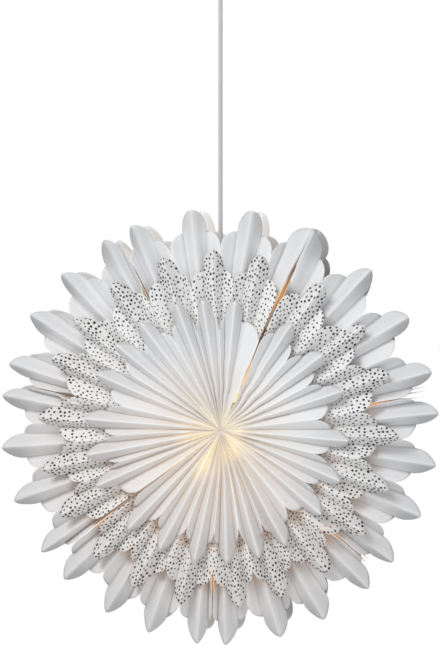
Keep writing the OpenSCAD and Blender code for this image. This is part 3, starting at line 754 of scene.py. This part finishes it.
def fold_tree():
    """Geometry nodes that fold a flat fan into pleats, front and back."""
    tree = bpy.data.node_groups.new("fold fan", "GeometryNodeTree")
    face = tree.interface
    face.new_socket("Geometry", in_out="INPUT", socket_type="NodeSocketGeometry")
    for label in FOLD_VALUES:
        face.new_socket(label, in_out="INPUT", socket_type="NodeSocketFloat")
    face.new_socket("Print", in_out="INPUT", socket_type="NodeSocketBool")
    face.new_socket("Material", in_out="INPUT", socket_type="NodeSocketMaterial")
    face.new_socket("Geometry", in_out="OUTPUT", socket_type="NodeSocketGeometry")
    entry = put(tree, "NodeGroupInput").outputs
    out = put(tree, "NodeGroupOutput")
    given = {label: Field(tree, entry[label]) for label in FOLD_VALUES}
    flat = entry["Geometry"]
    dots = scattered_dots(tree, flat, given)
    share_, radius, valley, facet = (pattern_value(tree, label) for label in PATTERN_VALUES[:4])

    gap, end_gap = edge_gaps(given, radius)
    spread = given["Spread"] - (gap + end_gap)
    stray = waver(tree, given, facet * 0.8, 5.0) * (given["Jitter"] * 4.0)
    lean = stray * (share_ * (1.0 - share_) * 4.0)
    angle = given["Start Angle"] + gap + (spread * share_ + lean)
    height = folded_height(tree, given, radius, valley, facet)
    x = radius * angle.to("COSINE")
    z = radius * angle.to("SINE") + STAR_Z
    drift_x, drift_z = (radius.smooth(*step) for step in DRIFT)
    right = (angle + math.radians(10)).to("COSINE").rise(0.35, 0.85)
    closed = 1.0 - right * BACK_CLOSED * radius.rise(0.12, 0.25)

    looks = {}
    looks["glow"], looks["lamplight_tint"] = lamp_glow(tree, given, x, z, valley, facet)
    looks["crease"], looks["painted_shade"] = worn_creases_and_painted_shade(tree, given, angle, radius, valley, facet)
    looks["inside"], looks["shade"] = light_inside(angle, radius)
    looks["leak"] = leaking_light(tree, given, angle, radius, share_)

    both = put(tree, "GeometryNodeJoinGeometry")
    for side, aside, up in ((1, x + drift_x, z + drift_z),
                            (-1, x * closed + BACK_SHIFT, (z - STAR_Z) * closed + STAR_Z)):
        shape = put(tree, "ShaderNodeCombineXYZ", {0: aside, 1: height * -side, 2: up}).outputs[0]
        sheet = put(tree, "GeometryNodeSetPosition", {"Geometry": flat, "Position": shape}).outputs[0]
        folded = put(tree, "GeometryNodeSampleNearestSurface",
                     {"Mesh": flat, "Value": shape}, data_type="FLOAT_VECTOR").outputs[0]
        ink = put(tree, "GeometryNodeSetPosition",
                  {"Geometry": dots, "Position": folded, "Offset": (0, -side * INK_LIFT, 0)}).outputs[0]
        moved = put(tree, "GeometryNodeSwitch", {"Switch": entry["Print"], "False": sheet, "True": ink},
                    input_type="GEOMETRY").outputs[0]
        if side < 0:
            moved = put(tree, "GeometryNodeFlipFaces", {"Mesh": moved}).outputs[0]
        tree.links.new(moved, both.inputs[0])
    geometry = both.outputs[0]
    for label, value in looks.items():
        geometry = put(tree, "GeometryNodeStoreNamedAttribute",
                       {"Geometry": geometry, "Name": label, "Value": value},
                       data_type="FLOAT", domain="POINT").outputs[0]
    geometry = put(tree, "GeometryNodeRealizeInstances", {"Geometry": geometry}).outputs[0]
    geometry = put(tree, "GeometryNodeSetMaterial",
                   {"Geometry": geometry, "Material": entry["Material"]}).outputs[0]
    tree.links.new(geometry, out.inputs[0])
    return tree


def socket_ids(tree):
    return {s.name: s.identifier for s in tree.interface.items_tree if s.in_out == "INPUT"}


def folded_fan(name, flat, tree, values):
    """One fan of petals: the flat pattern folded by the node tree."""
    obj = link_object(name, flat)
    fold = obj.modifiers.new("fold", "NODES")
    fold.node_group = tree
    ids = socket_ids(tree)
    for label, value in values.items():
        fold[ids[label]] = value
    bake_modifiers(obj)
    while obj.data.materials[0] is None:
        obj.data.materials.pop(index=0)
    return obj


def sharpen(obj, degrees):
    obj.data.set_sharp_from_angle(angle=math.radians(degrees))


def thicken(obj, thickness, inner_slot=0):
    solid = obj.modifiers.new("thickness", "SOLIDIFY")
    solid.thickness = thickness
    solid.offset = 0
    solid.material_offset = inner_slot
    return bake_modifiers(obj)


def joined(name, parts):
    """Several plain meshes made one object."""
    if len(parts) > 1:
        first = parts[0]
        with bpy.context.temp_override(active_object=first, object=first, selected_editable_objects=parts):
            bpy.ops.object.join()
    parts[0].name = name
    return parts[0]


def fold_values(settings, kind, fan, material):
    """What the folding nodes are given for one fan."""
    sheet = getattr(settings, kind)
    paper = settings.paper
    start, end = fan_span(kind, fan)
    return {
        "Start Angle": math.radians(start), "Spread": math.radians(end - start),
        "Apex Height": sheet.apex_h, "Tip Height": sheet.tip_h, "Tip Radius": sheet.tip_r,
        "Pleat Slope": sheet.pleat / sheet.lobe_r, "Curl": paper.curl * CURLS[kind], "Bow": paper.bow,
        "Wobble": paper.wobble, "Jitter": paper.jitter, "Notch Radius": sheet.notch_r,
        "Start Gap": sheet.joint_gap if fan == 0 else sheet.gap,
        "End Gap": sheet.joint_gap if fan == FANS - 1 else sheet.gap,
        "Leak Radius": LEAKS[kind], "Tuck": TUCKS[kind], "Tip Tone": TIP_TONES[kind],
        "Softness": CREASE_SOFTNESS, "Dot Spacing": paper.dot_gap, "Dot Radius": paper.dot_r,
        "Seed": float(fan * 17 + len(kind)),
        "Print": False, "Material": material}


def petal_tier(context, kind, material, inside):
    """One tier of petals: seven folded fans, with their dots where the tier is printed."""
    settings = context.scene.lantern
    sheet = getattr(settings, kind)
    tree = bpy.data.node_groups.get("fold fan") or fold_tree()
    for i in range(FANS):
        values = fold_values(settings, kind, i, material)
        obj = folded_fan(f"{kind}_fan_{i + 1}", flat_pattern(kind, sheet, i), tree, values)
        for face in obj.data.polygons:
            face.use_smooth = True
        sharpen(obj, SHARP_FOLD)
        obj.data.materials.append(inside)
        thicken(obj, settings.paper.thickness, 1)
        if kind == "dotted":
            values.update({"Print": True, "Material": bpy.data.materials["printing ink"]})
            dots = folded_fan(f"dots_{i + 1}", flat_pattern(kind, sheet, i), tree, values)
            obj = joined(obj.name, [obj, dots])
        stand_for(obj, f"{kind}_petals_{i + 1}", "star")


class LANTERN_OT_inner(bpy.types.Operator):
    """Makes the inner tier of plain petals"""
    bl_idname = "lantern.inner"
    bl_label = "Inner petals"

    def execute(self, context):
        paper = context.scene.lantern.paper
        plain = paper_material("plain paper", paper, paper.plain)
        # The inner faces get a lit copy of the paper, with painted lamplight and painted shade
        inside = paper_material("paper inside", paper, paper.inside, lit=True, yellow=(0.45, 0.7))
        petal_tier(context, "inner", plain, inside)
        return {"FINISHED"}


class LANTERN_OT_dotted(bpy.types.Operator):
    """Makes the middle tier of dotted petals"""
    bl_idname = "lantern.dotted"
    bl_label = "Dotted petals"

    def execute(self, context):
        paper = context.scene.lantern.paper
        printed = paper_material("dotted paper", paper, paper.printed)
        plain_material("printing ink", paper.ink, 0.6)
        petal_tier(context, "dotted", printed, bpy.data.materials["paper inside"])
        return {"FINISHED"}


class LANTERN_OT_outer(bpy.types.Operator):
    """Makes the outer tier of plain petals"""
    bl_idname = "lantern.outer"
    bl_label = "Outer petals"

    def execute(self, context):
        plain, inside = bpy.data.materials["plain paper"], bpy.data.materials["paper inside"]
        petal_tier(context, "outer", plain, inside)
        return {"FINISHED"}


# Walls between the fans

def smooth_step(value, low, high, to_low, to_high):
    t = min(1, max(0, (value - low) / (high - low)))
    return to_low + (to_high - to_low) * t * t * (3 - 2 * t)


def wall_rows(settings, spike):
    """(radius, low edge, high edge) along the front half of a seam wall."""
    inner, dotted, outer = settings.inner, settings.dotted, settings.outer

    def edge(sheet, r):
        return sheet.apex_h + r * (sheet.tip_h - sheet.apex_h) / sheet.tip_r

    high_end = edge(outer, spike) - WALL_SINK
    rows = []
    for i in range(WALL_ROWS + 1):
        r = WALL_START + (spike - WALL_START) * i / WALL_ROWS
        if r <= inner.notch_r:
            high = edge(inner, r) - WALL_SINK
        elif r <= dotted.notch_r:
            high = edge(dotted, r) - WALL_SINK - TUCKS["dotted"] * smooth_step(r, *TUCK_FADE, 1, 0)
        else:
            flap = min(1, (r - dotted.notch_r) / (FLAP_END - dotted.notch_r)) ** 2
            high = edge(dotted, r) + (edge(outer, r) - edge(dotted, r)) * flap - WALL_SINK
        past = max(0, (r - WALL_HOLLOW) / (spike - WALL_HOLLOW))
        low = high_end * math.sqrt(past)
        rows.append((r, min(low, high - WALL_LEAST), high))
    return rows


def wall_angle(seam, r):
    """The walls bend between the tiers, which lie a little apart at each seam."""
    inner, dotted, outer = (math.radians(SEAMS[kind][seam]) for kind in ("inner", "dotted", "outer"))
    first, second = WALL_BENDS
    return smooth_step(r, *first, inner, dotted) + smooth_step(r, *second, 0, outer - dotted)


def covered_share(seam, r):
    """How much of the lamplight is kept off the walls of the open joint, from 0 to 1."""
    if seam not in (0, FANS):
        return 0
    return sum(smooth_step(r, start, full, 0, 1) * smooth_step(r, fading, end, 1, 0)
               for start, full, fading, end in SLIT_COVERS)


def wall_sheet(name, settings, seam, side, material):
    """One sheet of a seam wall. Its outer end bends away from its twin."""
    chance = random.Random(3 * seam + side)
    bow = chance.uniform(0.6, 1.5)
    points, glow, pale = [], [], []
    for r, low, high in wall_rows(settings, WALL_SPIKES[seam]):
        angle = wall_angle(seam, r)
        free = max(0, (r - 0.13) / 0.15)
        flap = math.sin(math.pi * min(1, max(0, (r - FLAP_START) / (FLAP_END - FLAP_START))))
        offset = side * (0.0002 + 0.0028 * bow * free ** 2)
        front = [smooth_step(r, *step) for step in DRIFT]
        covered = covered_share(seam, r)
        lit = sum(strength[seam] * math.exp(-((r - middle) / spread) ** 2)
                  for middle, spread, strength in WALL_GLOWS)
        for end in (-1, 1):
            for j in range(WALL_COLUMNS + 1):
                h = end * (low + (high - low) * j / WALL_COLUMNS)
                t = offset + side * 0.0006 * math.sin(h / 0.02 + seam) * free
                t += side * FLAP_BENDS[seam] * flap * max(0, h / high) ** 3
                ahead = (h / high + 1) / 2
                x = r * math.cos(angle) - t * math.sin(angle) + BACK_SHIFT + (front[0] - BACK_SHIFT) * ahead
                z = r * math.sin(angle) + t * math.cos(angle) + STAR_Z + front[1] * ahead
                points.append((x, -h, z))
                # Paler where the walls are lit, which lifts their painted shade: at their visible edges, in
                # the open joint and at the spikes by the rim
                edge_pale = 0.7 * smooth_step(h / high, 0.93, 0.99, 0, 1)
                deep_pale = 0.9 * covered * smooth_step(h / high, 0.35, 0.6, 0, 1)
                pale.append(max(edge_pale, deep_pale, smooth_step(r, 0.235, 0.26, 0, 0.75)))
                glow.append(lit * (1 - 0.7 * covered))
    line = 2 * (WALL_COLUMNS + 1)
    faces = [(i * line + k + j, i * line + k + j + 1, (i + 1) * line + k + j + 1, (i + 1) * line + k + j)
             for i in range(WALL_ROWS) for k in (0, WALL_COLUMNS + 1) for j in range(WALL_COLUMNS)]
    obj = mesh_object(name, points, faces)
    even_tone, none = [1.0] * len(points), [0.0] * len(points)
    for label, values in (("glow", glow), ("crease", pale), ("painted_shade", even_tone),
                          ("lamplight_tint", none), ("leak", none)):
        store(obj.data, label, values)
    weld = obj.modifiers.new("weld", "WELD")
    weld.merge_threshold = 0.00001
    obj.data.materials.append(material)
    bake_modifiers(obj)
    return thicken(obj, settings.paper.thickness)


class LANTERN_OT_walls(bpy.types.Operator):
    """Makes the walls between the fans and the two end walls of the open joint"""
    bl_idname = "lantern.walls"
    bl_label = "Seam walls"

    def execute(self, context):
        settings = context.scene.lantern
        paper = settings.paper
        # The walls' brown is painted shade on white paper, and their glow is painted lamplight
        material = paper_material("wall paper", paper, paper.wall, rim=paper.wall_glow, yellow=(1.0, 2.2))
        walls = [("first_end_wall", (1,)), *[(f"seam_wall_{i}", (-1, 1)) for i in range(1, FANS)],
                 ("last_end_wall", (-1,))]
        for k, (name, sides) in enumerate(walls):
            parts = [wall_sheet(f"{name}_{side}", settings, k, side, material) for side in sides]
            label = name.replace("seam_wall", "wall_between_fans").replace("end_wall", "joint_wall")
            stand_for(joined(label, parts), name, "star")
        return {"FINISHED"}


# Hardware

def finish_node(name, material):
    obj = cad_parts[name]
    obj.data.materials.clear()
    obj.data.materials.append(material)


# Heights in millimetres of the cap's shoulder, the shade ring, the bulb's contact and the swivel ball
HOLDER_Z = -634.0
RING_Z = -668.0
BULB_Z = -668.1
BALL_Z = -50.0


def white_plastic():
    name = "white plastic"
    return bpy.data.materials.get(name) or plain_material(name, (0.86, 0.86, 0.85), 0.35)


def cord_grip():
    """A ribbed nut with a tapered collar, which holds the cord over the lampholder."""
    outline = [(3.1, -10), (4.8, -10), (4.8, -0.1), (6.0, 0), (6.5, 0.6, True), (6.5, 1.6, True),
               (6.5, 2.7, True), (6.5, 3.6, True), (6.0, 4.2), (5.4, 4.4), (5.4, 5.6), (5.0, 6.2),
               (4.3, 11.3), (3.9, 12), (3.1, 12)]
    obj = lathe("cord_clamp", outline, white_plastic(), HOLDER_Z, 0.3, 144, ribs(24, 0.45))
    stand_for(obj, "cord_grip", "pendant")
    return obj


class LANTERN_OT_lampholder(bpy.types.Operator):
    """Makes the ribbed cap, the threaded body, its brass sleeve and the shade ring"""
    bl_idname = "lantern.lampholder"
    bl_label = "Lampholder"

    def execute(self, context):
        white = white_plastic()
        outline = [(5.0, -0.05), (10.5, -0.05), (13.0, -1.5), (14.2, -4.2), (14.5, -6), (14.5, -10.2),
                   (14.0, -10.8), (14.0, -11.4), *run(14.5, -12.2, -23.6, 8), (14.0, -24.3), (14.0, -24.8),
                   (14.5, -25.2), (14.5, -26), (12.7, -26), (12.7, -6), (9.5, -3), (5.0, -3)]
        cap = lathe("lampholder_cap", outline, white, HOLDER_Z, 0.5, 192, ribs(32, 0.5))
        stand_for(cap, "holder_cap", "pendant")
        outline = [(7.65, -56), (12.7, -56), (13.3, -55.4), *run(13.6, -55, -26.8, 70), (13.4, -26.4),
                   (12.6, -26), (12.6, -16), (9.1, -16), (9.1, -32), (7.65, -32)]
        body = lathe("lampholder_body", outline, white, HOLDER_Z, 0.4, 64, thread(2.0, 0.55, -55, -26.8))
        stand_for(body, "holder_body", "pendant")
        outline = [(7.6, -54), (7.6, -32), (7.2, -32), *run(7.55, -32.5, -53.5, 48), (7.2, -54)]
        brass = plain_material("brass", (0.72, 0.53, 0.25), 0.3, 1.0)
        sleeve = lathe("threaded_sleeve", outline, brass, HOLDER_Z, 0.1, 48, thread(2.8, 0.33, -53.5, -32.5))
        stand_for(sleeve, "thread_sleeve", "pendant")
        outline = [(13.9, 0), (19.9, 0), (21.0, -0.6, True), (21.0, -1.5, True), (20.0, -2.2), (17.3, -2.5),
                   (16.9, -3.2, True), (16.7, -6, True), (16.5, -9.2, True), (15.8, -10), (13.9, -10)]
        ring = lathe("threaded_shade_ring", outline, white, RING_Z, 0.4, 216, ribs(36, 0.5))
        stand_for(ring, "shade_ring", "shade_ring")
        return {"FINISHED"}


class LANTERN_OT_bulb(bpy.types.Operator):
    """Makes the frosted globe bulb and its screw cap"""
    bl_idname = "lantern.bulb"
    bl_label = "Bulb"

    def execute(self, context):
        neck = [(12.0, -28.4), (10.6, -26.8), (9.5, -25.2), (8.8, -23.8), (8.5, -22.5)]
        turns = [math.radians(a) for a in range(0, 148, 6)]
        globe = [(22.5 * math.sin(a), -48 - 22.5 * math.cos(a)) for a in turns]
        inside = [(21.7 * math.sin(a), -48 - 21.7 * math.cos(a)) for a in turns]
        outline = [*globe, *neck, (6.4, -22.4), (6.4, -7.4), (5.6, -7.4), (5.6, -23.2),
                   *[(r - 0.8, h - 0.3) for r, h in reversed(neck)], *reversed(inside)]
        frosted = lamp_material("lit bulb", (0.95, 0.92, 0.85), 1.5)
        glass = lathe("globe_bulb", outline, frosted, BULB_Z, 0.3, 72)
        stand_for(glass, "bulb_glass", "bulb")
        shell = plain_material("plated cap", (0.70, 0.70, 0.71), 0.3, 1.0)
        outline = [(0, -3.4), (6.3, -3.4), (6.9, -4.4), *run(6.9, -5, -20.6, 42), (6.6, -21.2), (6.9, -21.7),
                   (6.9, -22.4), (6.41, -22.4), (6.41, -4.6), (0, -4.6)]
        cap = lathe("screw_cap", outline, shell, BULB_Z, 0.3, 64, thread(2.8, 0.44, -20.6, -5))
        stand_for(cap, "bulb_cap", "bulb")
        black = plain_material("black glass", (0.02, 0.02, 0.022), 0.15)
        outline = [(0, -0.8), (2.5, -0.8), (3.1, -1.3), (6.2, -2.9), (6.4, -3.4), (0, -3.4)]
        stand_for(lathe("cap_insulator", outline, black, BULB_Z), "bulb_insulator", "bulb")
        outline = [(0, 0), (0.9, -0.05), (1.7, -0.25), (2.2, -0.6), (2.2, -0.77), (0, -0.77)]
        stand_for(lathe("cap_contact", outline, shell, BULB_Z), "bulb_contact", "bulb_travel")
        return {"FINISHED"}


class LANTERN_OT_ceiling_cup(bpy.types.Operator):
    """Makes the ceiling cup with its ball socket, and the two slotted screws that hold it"""
    bl_idname = "lantern.ceiling_cup"
    bl_label = "Ceiling cup"

    def execute(self, context):
        paint = plain_material("white paint", (0.86, 0.86, 0.86), 0.4)
        shoulder = [math.radians(a) for a in range(0, 91, 10)]
        outer = [(37 + 13 * math.cos(a), -33 - 13 * math.sin(a)) for a in shoulder]
        inner = [(37 + 11.8 * math.cos(a), -33 - 11.8 * math.sin(a)) for a in reversed(shoulder)]
        seat = [(12.3 * math.cos(a), BALL_Z - 12.3 * math.sin(a)) for a in (
            math.radians(46.9 * k / 6) for k in range(6, -1, -1))]
        outline = [(49.0, -0.5), (50, -1.2), (50, -3.0), (49.5, -3.4), (49.5, -4.2), (50, -4.6), *outer,
                   (21, -46.3), (17.6, -46.9), (15.8, -48.4), (14.9, -50.6), (14.7, -53), (14.7, -60.4),
                   (14.2, -60.8), (14.2, -61.3), (14.7, -61.7), (14.7, -62.9), (8.4, -62.9), *seat,
                   (12.3, -42.2), (13.6, -42.2), (14.7, -45.1), *inner, (48.8, -0.5)]
        cup = lathe("ceiling_canopy", outline, paint, 0, 0.5, 128)
        across = Matrix.Rotation(math.radians(90), 4, "Y")
        hole = lathe("screw_hole", [(0, -60), (2.2, -60), (2.2, 60), (0, 60)], paint, 0, 0, 32)
        hole.data.transform(Matrix.Translation((0, 0, -9 * MM)) @ across)
        cut_away(cup, hole)
        sharpen(cup, 40)
        stand_for(cup, "ceiling_cup", "ceiling")
        steel = plain_material("bright steel", (0.66, 0.66, 0.67), 0.28, 1.0)
        screws = []
        for side in (-1, 1):
            outline = [(0, 43.5), (1.5, 43.5), *run(2.0, 44.2, 48.6, 16), (2.0, 50), (3.8, 50), (4.0, 50.5),
                       (4.0, 51.2), (3.2, 52), (1.8, 52.35), (0, 52.4)]
            screw = lathe(f"screw_{side}", outline, steel, 0, 0.2, 48, thread(0.7, 0.3, 44.2, 48.6))
            slot = lathe("slot", [(0, 51.5), (5.0, 51.5), (5.0, 54), (0, 54)], steel, 0, 0, 4)
            narrow = Matrix.Diagonal((0.11, 1.6, 1, 1))
            slot.data.transform(narrow @ Matrix.Rotation(math.radians(45), 4, "Z"))
            cut_away(screw, slot)
            sharpen(screw, 40)
            outwards = Matrix.Rotation(math.radians(side * 90), 4, "Y")
            turn = outwards @ Matrix.Rotation(math.radians(35), 4, "Z")
            screw.data.transform(Matrix.Translation((0, 0, -9 * MM)) @ turn)
            screws.append(screw)
        stand_for(joined("side_screws", screws), "cup_screws", "ceiling")
        return {"FINISHED"}


class LANTERN_OT_hardware(bpy.types.Operator):
    """Gives the remaining parts of the lampholder and ceiling fitting their finishes"""
    bl_idname = "lantern.hardware"
    bl_label = "Fittings"

    def execute(self, context):
        card = plain_material("card", (0.80, 0.77, 0.70), 0.8, grain=700, depth=0.0002)
        pads = plain_material("hook and loop", (0.85, 0.85, 0.85), 0.9, grain=1500, depth=0.0006)
        steel = plain_material("zinc plate", (0.62, 0.62, 0.63), 0.35, 1.0)
        nylon = plain_material("nylon", (0.82, 0.80, 0.74), 0.5)
        clay = plain_material("ceramic", (0.85, 0.83, 0.78), 0.55)
        glowing = lamp_material("lit filament", (0.95, 0.85, 0.6), 3.0)
        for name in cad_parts:
            if name.endswith("pads"):
                finish_node(name, pads)
        for material, names in (
                (white_plastic(), ("terminal_block",)), (card, ("hanger_card",)),
                (bpy.data.materials["brass"], ("holder_contacts",)),
                (steel, ("ceiling_plate", "swivel_ball", "ball_screw")), (nylon, ("socket_liner",)),
                (clay, ("contact_insert",)), (glowing, ("filaments",))):
            for name in names:
                finish_node(name, material)
        return {"FINISHED"}


class LANTERN_OT_cord(bpy.types.Operator):
    """Makes the pendant cord"""
    bl_idname = "lantern.cord"
    bl_label = "Cord"

    def execute(self, context):
        cord = context.scene.lantern.cord
        count = 20
        route = [(0, 0, cord.top_z + (cord.end_z - cord.top_z) * i / (count - 1)) for i in range(count)]
        curve = bpy.data.curves.new("pendant_cord", "CURVE")
        curve.dimensions = "3D"
        curve.bevel_depth = cord.diameter / 2
        curve.bevel_resolution = 6
        curve.use_fill_caps = True
        spline = curve.splines.new("POLY")
        spline.points.add(count - 1)
        for point, place in zip(spline.points, route):
            point.co = (*place, 1)
        obj = link_object("pendant_cord", curve)
        curve.materials.append(plain_material("cord sheath", cord.sheath, 0.45, grain=500))
        stand_for(obj, "cord", "pendant")
        cord_grip()
        return {"FINISHED"}


def aim(obj, place, target):
    """Puts a camera or lamp at a place and turns it to look at a target."""
    obj.location = place
    obj.rotation_mode = "QUATERNION"
    obj.rotation_quaternion = (target - obj.location).to_track_quat("-Z", "Y")


class LANTERN_OT_stage(bpy.types.Operator):
    """Makes the camera, the lamps, the floor and the plain background"""
    bl_idname = "lantern.stage"
    bl_label = "Stage"

    def execute(self, context):
        stage = context.scene.lantern.stage
        scene = context.scene
        scene.view_settings.view_transform = "Standard"
        centre = Vector((0, 0, STAR_Z))
        back = Vector((math.sin(stage.azimuth) * math.cos(stage.elevation),
                       -math.cos(stage.azimuth) * math.cos(stage.elevation), math.sin(stage.elevation)))
        data = bpy.data.cameras.new("camera")
        data.lens = stage.lens
        data.clip_start = 0.05
        data.clip_end = 60
        camera = link_object("camera", data)
        aim(camera, centre + back * stage.distance, centre + Vector((stage.aim_x, 0, stage.aim_z)))
        scene.camera = camera

        for label, place, size, power in (("key lamp", (-0.9, -1.9, 1.0), 1.0, 32),
                                          ("fill lamp", (1.2, -2.6, -1.3), 1.8, 14),
                                          ("back lamp", (0.9, 2.2, 0.9), 1.4, 14)):
            lamp = bpy.data.lights.new(label, "AREA")
            lamp.shape = "DISK"
            lamp.size = size
            lamp.energy = power
            aim(link_object(label, lamp), place, centre)

        world = bpy.data.worlds.new("world")
        scene.world = world
        world.use_nodes = True
        tree = world.node_tree
        tree.nodes.clear()
        path = put(tree, "ShaderNodeLightPath").outputs
        seen = maths(tree, "MAXIMUM", path["Is Camera Ray"],
                     maths(tree, "MAXIMUM", path["Is Glossy Ray"], path["Is Transmission Ray"]))
        soft = put(tree, "ShaderNodeBackground", {0: (0.98, 0.99, 1.0, 1), 1: 0.47})
        white = put(tree, "ShaderNodeBackground", {0: (1, 1, 1, 1), 1: 1.0})
        mixed = put(tree, "ShaderNodeMixShader", {0: seen, 1: soft.outputs[0], 2: white.outputs[0]})
        out = put(tree, "ShaderNodeOutputWorld")
        tree.links.new(mixed.outputs[0], out.inputs[0])

        half = 1.6
        corners = [(x * half, y * half, stage.floor_z) for x, y in ((-1, -1), (1, -1), (1, 1), (-1, 1))]
        floor = mesh_object("floor", corners, [(0, 1, 2, 3)], False)
        material, tree, shader = new_material("floor")
        shader.inputs["Base Color"].default_value = (0.88, 0.88, 0.88, 1)
        shader.inputs["Roughness"].default_value = 0.8
        floor.data.materials.append(material)
        return {"FINISHED"}


class LANTERN_PT_panel(bpy.types.Panel):
    """Lists the lantern's operators"""
    bl_label = "Paper star lantern"
    bl_idname = "LANTERN_PT_panel"
    bl_space_type = "VIEW_3D"
    bl_region_type = "UI"
    bl_category = "Lantern"

    def draw(self, context):
        for operator in OPERATORS:
            self.layout.operator(operator.bl_idname)


OPERATORS = (LANTERN_OT_stage, LANTERN_OT_cord, LANTERN_OT_inner, LANTERN_OT_dotted, LANTERN_OT_outer,
             LANTERN_OT_walls, LANTERN_OT_lampholder, LANTERN_OT_bulb, LANTERN_OT_ceiling_cup,
             LANTERN_OT_hardware)
CLASSES = (InnerSheet, DottedSheet, OuterSheet, PaperSettings, CordSettings, StageSettings, LanternSettings,
           *OPERATORS, LANTERN_PT_panel)


def register():
    for cls in CLASSES:
        bpy.utils.register_class(cls)
    bpy.types.Scene.lantern = bpy.props.PointerProperty(type=LanternSettings)


def unregister():
    del bpy.types.Scene.lantern
    for cls in reversed(CLASSES):
        bpy.utils.unregister_class(cls)


def main():
    register()
    bpy.ops.lantern.stage()
    bpy.ops.lantern.cord()
    bpy.ops.lantern.inner()
    bpy.ops.lantern.dotted()
    bpy.ops.lantern.outer()
    bpy.ops.lantern.walls()
    bpy.ops.lantern.lampholder()
    bpy.ops.lantern.bulb()
    bpy.ops.lantern.ceiling_cup()
    bpy.ops.lantern.hardware()


if __name__ == "__main__":
    main()
